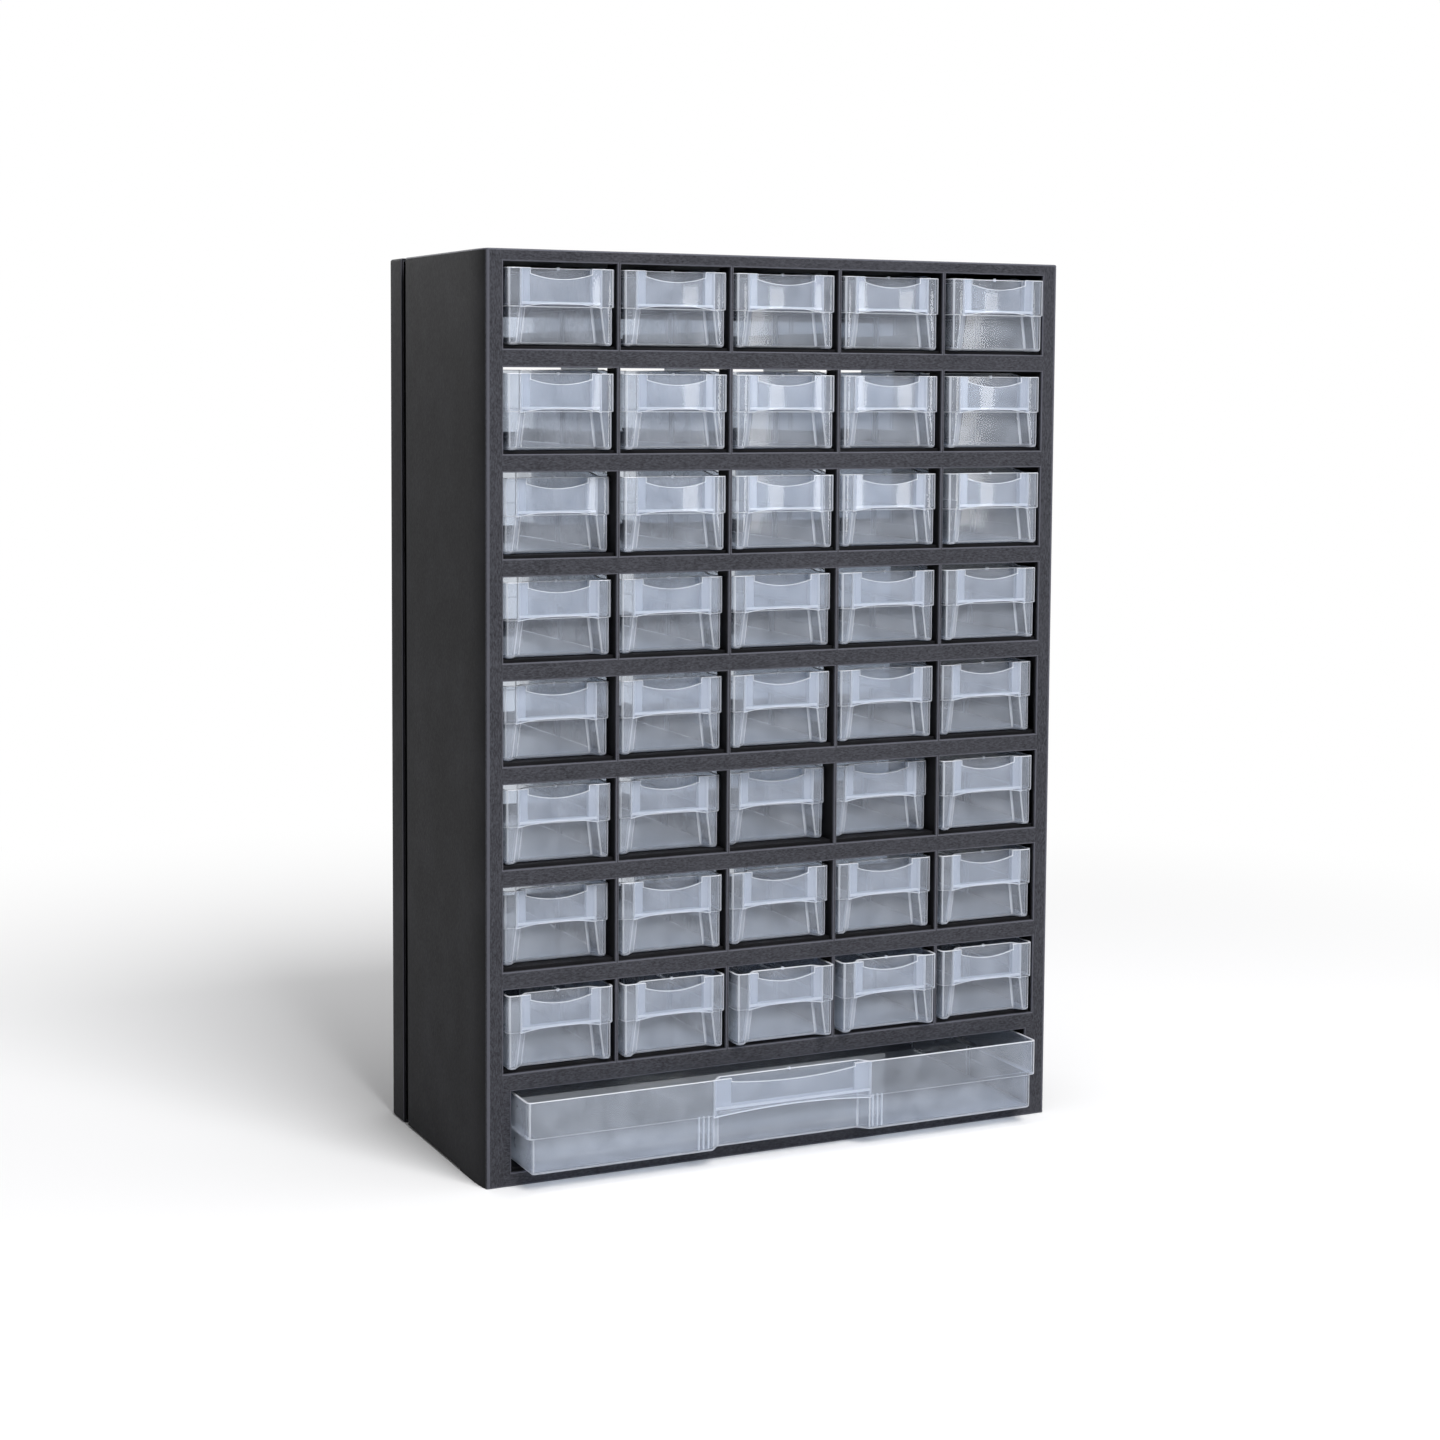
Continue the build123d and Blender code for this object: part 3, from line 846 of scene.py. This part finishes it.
@dataclass
class Tray:
    """A milky drawer with a stepped outside, a recess in its front and a pull plate across it."""

    finish: Material
    width: float = 53.16
    length: float = 120.2
    height: float = 34.8
    step_drop: float = 17.4
    side_step: float = 0.9
    side_zone: float = 8.0
    front_step: float = 0.9
    front_back: float = 0.2
    mouth: float = 39.4
    recess_floor: float = 32.0
    recess_depth: float = 4.0
    recess_flare: float = 2.2
    window: float = 30.0
    ledge_drop: float = 15.2
    lip_end_drop: float = 18.0
    lip_crown_drop: float = 15.9
    plate_end_drop: float = 2.6
    plate_dip_drop: float = 5.0
    plate_front: float = 0.1
    plate_thickness: float = 1.3
    plate_curve: float = 0.5
    plate_strips: int = 16
    band_thickness: float = 1.1
    ledge_thickness: float = 1.2
    ledge_gap: float = 0.4
    ledge_front: float = 0.5
    wall: float = 1.2
    floor: float = 1.3
    base_round: float = 1.3
    inner_round: float = 0.25
    corner_round: float = 2.0
    mouth_round: float = 0.65
    rim_round: float = 0.3
    step_round: float = 0.2
    plate_round: float = 0.22
    band_gap: float = 0.8
    band_sink: float = 0.4
    band_drop: float = 0.1
    trim_round: float = 0.25
    side_rise: float = 2.0
    rise_start: float = 15.0
    rise_run: float = 12.0
    tab_width: float = 20.0
    tab_height: float = 2.8
    rib_width: float = 1.0
    rib_reach: float = 0.9
    rib_gap: float = 2.0
    rib_round: float = 0.2
    rib_sink: float = 0.2
    front_ribs: tuple[float, ...] = ()
    front_rib_width: float = 0.8
    front_rib_reach: float = 1.0
    front_rib_round: float = 0.15
    nub_width: float = 1.4
    nub_height: float = 0.6
    nub_root: float = 1.0
    nub_inset: float = 0.05

    @property
    def step_height(self) -> float:
        """The height of the line where the upper body stands out."""
        return self.height - self.step_drop

    def body(self, mesh: Mesh) -> None:
        """Shape the open tray from one flat outline.

        Args:
            mesh: the drawer's empty mesh.
        """
        step = self.front_step
        half = self.width / 2 - step
        setback = self.front_back + step
        back = self.length - step
        outline = (
            (-half, setback),
            (-self.mouth / 2, setback),
            (-self.recess_floor / 2, setback + self.recess_depth),
            (self.recess_floor / 2, setback + self.recess_depth),
            (self.mouth / 2, setback),
            (half, setback),
            (half, back),
            (-half, back),
        )
        corners = [mesh.verts.new((x * MM, y * MM, 0)) for x, y in outline]
        sheet = mesh.faces.new(corners)
        sheet.normal_update()
        if sheet.normal.z < 0:
            sheet.normal_flip()
        for group, size, steps in (
            (corners[:1] + corners[5:], self.corner_round, 4),
            (corners[1:5], self.mouth_round, 3),
        ):
            bmesh.ops.bevel(
                mesh,
                geom=group,
                offset=size * MM,
                offset_type="OFFSET",
                segments=steps,
                profile=0.5,
                affect="VERTICES",
                material=-1,
            )
        # Up to the step, out, up to the rim, in by the wall, down to the step, in, and down to
        # the floor. The outline itself stays as the underside.
        inner_step = self.step_height + self.wall
        cap = pull(mesh, mesh.faces[:], (0, 0, self.step_height), keep=True)[1]
        for inset, rise in (
            (-step, self.height - self.step_height),
            (self.wall, inner_step - self.height),
            (step, self.floor - inner_step),
        ):
            bmesh.ops.inset_region(mesh, faces=cap, thickness=inset * MM, use_even_offset=True)
            cap = pull(mesh, cap, (0, 0, rise))[1]
        self._shift_wide_sides(mesh)
        self._flare_recess(mesh)
        bmesh.ops.recalc_face_normals(mesh, faces=mesh.faces[:])
        self._lift_sides(mesh)
        self._round_body(mesh)

    def _shift_wide_sides(self, mesh: Mesh) -> None:
        """Move the lower sides in where the side step is larger than the front's step.

        Args:
            mesh: the drawer's mesh.
        """
        extra = (self.side_step - self.front_step) * MM
        if extra < CLOSE:
            return
        inner_line = (self.step_height + self.wall + NEAR) * MM
        floor_line = (self.floor + NEAR) * MM
        reach = (self.width / 2 - self.side_zone) * MM
        for vert in mesh.verts:
            if abs(vert.co.x) < reach or vert.co.z > inner_line:
                continue
            below = vert.co.z - APART * MM
            tops_wall = any(e.other_vert(vert).co.z < below for e in vert.link_edges)
            if tops_wall or vert.co.z < floor_line:
                vert.co.x -= math.copysign(extra, vert.co.x)

    def _flare_recess(self, mesh: Mesh) -> None:
        """Let the recess grow wider from the step line down to the base.

        Args:
            mesh: the drawer's mesh.
        """
        floor_line = (self.floor + NEAR) * MM
        setback = self.front_back + self.front_step
        behind = (setback + self.recess_depth + self.wall + APART) * MM
        reach = (self.mouth / 2 + self.wall + APART) * MM
        for vert in mesh.verts:
            if vert.co.z < floor_line and vert.co.y < behind and abs(vert.co.x) < reach:
                vert.co.x += math.copysign(self.recess_flare * MM, vert.co.x)

    def _lift_sides(self, mesh: Mesh) -> None:
        """Let the sides and the back stand higher than the front, with a slope between.

        Args:
            mesh: the drawer's mesh.
        """
        if self.side_rise <= 0:
            return
        cut_at(mesh, 1, self.rise_start)
        cut_at(mesh, 1, self.rise_start + self.rise_run)
        limit = (self.rise_start + self.rise_run - NEAR) * MM
        for vert in mesh.verts:
            if vert.co.z > (self.height - NEAR) * MM and vert.co.y > limit:
                vert.co.z += self.side_rise * MM

    def _round_body(self, mesh: Mesh) -> None:
        """Mark the rim, the step's underside and the upright corners, and round the level edges.

        Args:
            mesh: the drawer's mesh.
        """

        def level(low: float, high: float) -> list[Edge]:
            """List the sharp edges between two heights."""
            bottom, top = (low - NEAR) * MM, (high + NEAR) * MM
            flat = [e for e in mesh.edges if all(bottom < v.co.z < top for v in e.verts)]
            return [e for e in flat if e.calc_face_angle(0) > SHARP_ANGLE]

        step = self.step_height
        rounds = (
            (level(0, 0), self.base_round, 3, Rim.LIGHT),
            (level(self.floor, self.floor), self.inner_round, 1, Rim.FAINT),
            (level(step, step), self.step_round, 1, Rim.STEP),
            (level(self.height, self.height + self.side_rise), self.rim_round, 2, Rim.FULL),
        )
        for face in mesh.faces:
            x, y, z = face.normal
            place = face.calc_center_median().z / MM
            if z > FACING and place > self.height - APART:
                mark(mesh, [face], Rim.FULL)
            if z < -FACING and place > APART:
                mark(mesh, [face], Rim.HEAVY)
            # Half turned from the front to the side, as only the corners' rounds are
            if abs(z) < BESIDE < abs(y) and TURN_LOW < abs(x) < TURN_HIGH:
                mark(mesh, [face], Rim.MEDIUM)
        for edges, width, steps, rim in rounds:
            bevel_edges(mesh, [e for e in edges if e.is_valid], width, steps, rim)

    def plate(self, mesh: Mesh) -> None:
        """Add the pull plate, with a dipped top edge and an arched lower lip.

        Args:
            mesh: the drawer's mesh.
        """
        sheet = self._plate_sheet(mesh)
        near = list({v for f in sheet for v in f.verts})
        moved = pull(mesh, sheet, (0, self.plate_thickness, 0), keep=True)[0]
        faces = list({f for v in moved + near for f in v.link_faces})
        bmesh.ops.recalc_face_normals(mesh, faces=faces)
        mark(mesh, faces, Rim.FULL)
        mark(mesh, [f for f in faces if abs(f.normal.y) > FACING], Rim.CLEAR)
        edges = {e for f in faces for e in f.edges if e.calc_face_angle(0) > SHARP_ANGLE}
        bevel_edges(mesh, list(edges), self.plate_round, 2, Rim.FULL)
        # The plate thins out towards its dipped top edge, which is less white
        dip = (self.height - self.plate_dip_drop - APART) * MM
        behind = (self.plate_thickness + APART) * MM
        for face in mesh.faces:
            middle = face.calc_center_median()
            in_window = abs(middle.x) < self.window / 2 * MM
            if in_window and middle.y < behind and middle.z > dip and abs(face.normal.y) < FACING:
                mark(mesh, [face], Rim.MEDIUM)

    def _plate_sheet(self, mesh: Mesh) -> list[Face]:
        """Lay out the plate's front as upright strips, curved a little to catch the light.

        Args:
            mesh: the drawer's mesh.

        Returns:
            The strips.
        """
        half = self.mouth / 2 + SINK
        window = self.window / 2
        shoulder = (half + window) / 2
        inner = [window * (2 * i / self.plate_strips - 1) for i in range(self.plate_strips + 1)]
        lip_fall = self.lip_end_drop - self.lip_crown_drop
        dip_depth = self.plate_dip_drop - self.plate_end_drop
        columns = []
        for x in [-half, -shoulder, *inner, shoulder, half]:
            lip = self.lip_crown_drop + lip_fall * (x / half) ** 2
            dip = self.plate_dip_drop - dip_depth * (x / window) ** 2
            in_window = abs(x) < window + CLOSE
            drops = [lip, dip] if in_window else [lip, 0.0]
            if in_window and abs(x) > window - CLOSE:
                drops.append(0.0)
            y = -self.plate_front + self.plate_curve * (x / half) ** 2
            column = [mesh.verts.new((x * MM, y * MM, (self.height - d) * MM)) for d in drops]
            columns.append((in_window, column))
        strips = []
        for (left_in, left), (right_in, right) in zip(columns, columns[1:]):
            if left_in and right_in:
                left, right = left[:2], right[:2]
            strips.append(mesh.faces.new(right + left[::-1]))
        return strips

    def fittings(self, mesh: Mesh) -> None:
        """Add the bands and the ledge behind the plate, the ribs, the nub and the rear tab.

        Args:
            mesh: the drawer's mesh.
        """
        top = self.height
        ledge_top = top - self.ledge_drop
        base = self.floor - self.rib_sink
        plate = self.plate_thickness
        add_pair(
            mesh,
            (self.window / 2, plate - SINK, ledge_top - self.band_sink),
            (self.mouth / 2 - self.band_gap, plate + self.band_thickness, top - self.band_drop),
            self.trim_round,
            Rim.LIGHT,
        )
        self._ledge(mesh, ledge_top)
        inner = self.width / 2 - self.side_step - self.wall
        for place in (-1, 1):
            centre = (self.length + place * (self.rib_gap + self.rib_width)) / 2
            add_pair(
                mesh,
                (inner - self.rib_reach, centre - self.rib_width / 2, base),
                (inner + SINK, centre + self.rib_width / 2, self.step_height),
                self.rib_round,
                Rim.RIB,
            )
        wall = self.front_back + self.front_step + self.wall
        half = self.front_rib_width / 2
        for offset in self.front_ribs:
            add_pair(
                mesh,
                (offset - half, wall - self.rib_sink, base),
                (offset + half, wall + self.front_rib_reach, self.step_height),
                self.front_rib_round,
                Rim.HEAVY,
            )
        if self.tab_height > 0:
            rim = top + self.side_rise
            add_block(
                mesh,
                (-self.tab_width / 2, self.length - self.wall, rim - self.wall),
                (self.tab_width / 2, self.length, rim + self.tab_height),
                self.trim_round,
                Rim.TAB,
            )
        if self.nub_height > 0:
            front = self.front_back + self.recess_depth
            back = front + self.wall - self.nub_inset
            add_block(
                mesh,
                (-self.nub_width / 2, front + self.nub_inset, top - self.nub_root),
                (self.nub_width / 2, back, top + self.nub_height),
                self.rib_round,
                Rim.NUB,
            )

    def _ledge(self, mesh: Mesh, top: float) -> None:
        """Add the thin ledge that closes the label pocket's bottom.

        Args:
            mesh: the drawer's mesh.
            top: the ledge's upper face.
        """
        deep = self.front_back + self.recess_depth + SINK
        points = (
            (-self.mouth / 2 + self.ledge_gap, self.ledge_front),
            (self.mouth / 2 - self.ledge_gap, self.ledge_front),
            (self.recess_floor / 2, deep),
            (-self.recess_floor / 2, deep),
        )
        base = (top - self.ledge_thickness) * MM
        verts = [mesh.verts.new((x * MM, y * MM, base)) for x, y in points]
        sheet = mesh.faces.new(verts)
        moved = pull(mesh, [sheet], (0, 0, self.ledge_thickness), keep=True)[0]
        faces = list({f for v in moved + verts for f in v.link_faces})
        bmesh.ops.recalc_face_normals(mesh, faces=faces)
        mark(mesh, faces, Rim.LEDGE)

    def mesh(self) -> Mesh:
        """Build the whole drawer at the origin, front at Y = 0 and bottom at Z = 0.

        Returns:
            The drawer's mesh.
        """
        mesh = new_mesh()
        self.body(mesh)
        self.plate(mesh)
        self.fittings(mesh)
        return mesh

    def place(self, node: str) -> Piece:
        """Build the drawer where its solid stands.

        Args:
            node: the name of the drawer's solid, which is also its body.

        Returns:
            The finished piece.
        """
        low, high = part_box(node)
        mesh = self.mesh()
        origin = Vector(((low.x + high.x) / 2, low.y + self.plate_front * MM, low.z))
        bmesh.ops.translate(mesh, verts=mesh.verts[:], vec=origin)
        made = to_object(mesh, f"{node}_tray", self.finish)
        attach(made, node)
        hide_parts(node)
        return made


@dataclass
class Drawers:
    """All forty-one drawers of the cabinet."""

    finish: NaturalPolypropylene
    columns: int = 5
    rows: int = 8

    def dress(self) -> list[Piece]:
        """Build every drawer in its place.

        Returns:
            The drawers.
        """
        plastic = self.finish.material()
        small = Tray(finish=plastic)
        wide = Tray(
            finish=plastic,
            width=273.0,
            height=34.3,
            step_drop=17.2,
            side_step=2.5,
            mouth=84.0,
            recess_floor=75.0,
            recess_depth=5.0,
            recess_flare=0.0,
            window=66.0,
            ledge_drop=13.5,
            lip_end_drop=18.3,
            lip_crown_drop=16.0,
            plate_end_drop=1.6,
            plate_dip_drop=3.6,
            side_rise=0.0,
            tab_height=0.0,
            rib_reach=0.0,
            front_ribs=(44.2, 46.8, 49.2),
        )
        made = [
            small.place(f"drawer_r{row + 1}_c{column + 1}")
            for row in range(self.rows)
            for column in range(self.columns)
        ]
        return made + [wide.place("wide_drawer")]


# Studio


@dataclass
class SoftLamp:
    """One soft white rectangular lamp of the studio. Places and sizes are in metres."""

    name: str
    place: Point
    aim: Point
    size: tuple[float, float]
    power: float

    def hang(self) -> None:
        """Put the lamp in the scene, facing its aim."""
        data = bpy.data.lights.new(self.name, "AREA")
        data.shape = "RECTANGLE"
        data.size, data.size_y = self.size
        data.energy = self.power
        lamp = bpy.data.objects.new(self.name, data)
        lamp.location = self.place
        direction = Vector(self.aim) - Vector(self.place)
        lamp.rotation_euler = direction.to_track_quat("-Z", "Y").to_euler()
        bpy.context.scene.collection.objects.link(lamp)


@dataclass
class Studio:
    """A plain white studio: floor, world, soft lamps and the camera."""

    paper: StudioWhite
    floor_reach: float = 12000.0
    room_strength: float = 0.19
    clear_layers: int = 40
    sensor: float = 36.0
    clip_start: float = 10.0
    lens: float = 63.035
    yaw: float = 25.46
    pitch: float = 4.39
    roll: float = 0.369
    eye: Point = (-542.8, -1138.4, 370.6)
    shift: float = -0.1

    def floor(self) -> None:
        """Lay the floor under the cabinet."""
        mesh = bmesh.new()
        bmesh.ops.create_grid(mesh, x_segments=4, y_segments=4, size=self.floor_reach * MM)
        made = to_object(mesh, "studio_floor", self.paper.material())

    def world(self) -> None:
        """Light the scene evenly from all around, and show plain white behind it."""
        world = bpy.data.worlds.new("studio_room")
        bpy.context.scene.world = world
        world.use_nodes = True
        tree = world.node_tree
        tree.nodes.clear()
        levels = {1: 0.0, 2: 1.0, 3: self.room_strength, 4: 1.0}
        strength = add_node(tree, "MapRange", {}, {0: seen_ray(tree), **levels})
        light = add_node(tree, "Background", {}, {"Color": WHITE, "Strength": strength})
        add_node(tree, "OutputWorld", {}, {"Surface": light})

    def lamps(self) -> None:
        """Hang the lamps: high in front, a window of two panes at the right, above and behind."""
        pane = {"aim": (0.0, 0.0, 0.33), "size": (0.07, 0.28), "power": 0.5}
        for lamp in (
            SoftLamp("key_lamp", (0.15, -1.5, 1.9), (0.0, 0.0, 0.2), size=(1.0, 1.0), power=50.0),
            SoftLamp("left_pane", (0.605, -1.37, 0.34), **pane),
            SoftLamp("right_pane", (0.865, -1.37, 0.34), **pane),
            SoftLamp("top_lamp", (0.1, -0.1, 1.6), (0.0, 0.0, 0.3), size=(0.9, 0.9), power=8.0),
            SoftLamp("rear_lamp", (-0.5, 1.7, 0.9), (-0.05, 0.0, 0.25), size=(0.8, 0.8), power=5.0),
        ):
            lamp.hang()

    def camera(self) -> None:
        """Set the camera at the photograph's viewing angle."""
        yaw, pitch, roll = (math.radians(a) for a in (self.yaw, self.pitch, self.roll))
        flat = math.cos(pitch)
        ahead = Vector((math.sin(yaw) * flat, math.cos(yaw) * flat, -math.sin(pitch)))
        level = Vector((math.cos(yaw), -math.sin(yaw), 0.0))
        upright = level.cross(ahead)
        right = math.cos(roll) * level + math.sin(roll) * upright
        up = -math.sin(roll) * level + math.cos(roll) * upright
        data = bpy.data.cameras.new("photo_camera")
        data.lens = self.lens
        data.sensor_width = self.sensor
        data.shift_y = self.shift
        data.clip_start = self.clip_start * MM
        eye = bpy.data.objects.new("photo_camera", data)
        turn = Matrix((right, up, -ahead)).transposed().to_4x4()
        eye.matrix_world = Matrix.Translation(Vector(self.eye) * MM) @ turn
        bpy.context.scene.collection.objects.link(eye)
        bpy.context.scene.camera = eye

    def build(self) -> None:
        """Set up the whole studio."""
        self.floor()
        self.world()
        self.lamps()
        self.camera()
        bpy.context.scene.view_settings.view_transform = "Standard"
        bpy.context.scene.cycles.transparent_max_bounces = self.clear_layers


def main() -> None:
    """Build the cabinet in its studio and report each piece."""
    logging.basicConfig(level=logging.INFO, format="%(name)s: %(message)s")
    pieces = Housing(finish=MouldedStyrene()).dress()
    pieces += Drawers(finish=NaturalPolypropylene()).dress()
    for piece in pieces:
        log.info("%s: %d faces", piece.name, len(piece.data.polygons))
    Studio(paper=StudioWhite()).build()


if __name__ == "__main__":
    main()
